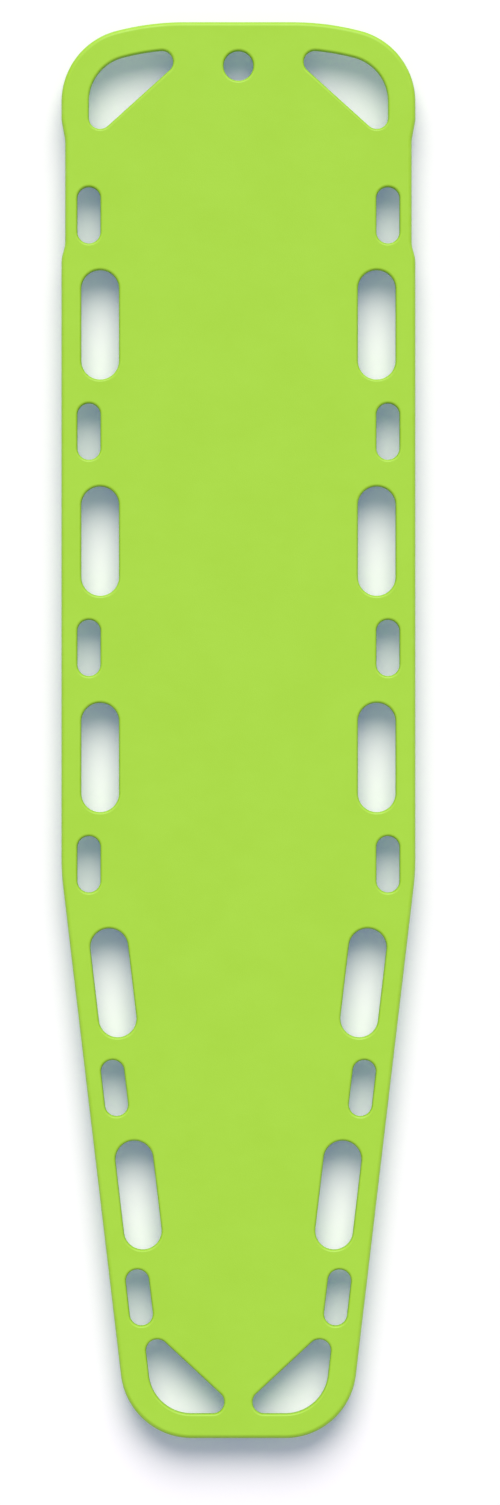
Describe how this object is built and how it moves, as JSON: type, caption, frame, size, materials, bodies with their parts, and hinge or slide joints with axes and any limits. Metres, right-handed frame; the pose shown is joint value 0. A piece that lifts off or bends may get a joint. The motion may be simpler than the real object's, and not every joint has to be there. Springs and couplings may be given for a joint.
{
  "type": "spine board",
  "caption": "Long tapered rescue board of hollow moulded plastic with hand holds, strap slots, corner holds and two runners.",
  "frame": {"origin": "under the middle of the board, on the plane that the runners stand on", "axes": "+Y towards the head end, +X to the right seen from above with the head end up, +Z out of the deck"},
  "size_m": [0.4572, 1.8288, 0.054],
  "materials": {
    "shell_plastic": "satin",
    "core_foam": "matte",
    "rod_composite": "satin",
    "plug_plastic": "satin"
  },
  "bodies": {
    "root": {"board_shell": "shell_plastic", "foam_core": "core_foam", "stiffener_rod_left_inner": "rod_composite", "stiffener_rod_left_outer": "rod_composite", "stiffener_rod_right_inner": "rod_composite", "stiffener_rod_right_outer": "rod_composite", "rod_plug_left_inner": "plug_plastic", "rod_plug_left_outer": "plug_plastic", "rod_plug_right_inner": "plug_plastic", "rod_plug_right_outer": "plug_plastic", "fill_plug": "plug_plastic", "vent_plug_head": "plug_plastic", "vent_plug_foot": "plug_plastic"}
  },
  "joints": []
}
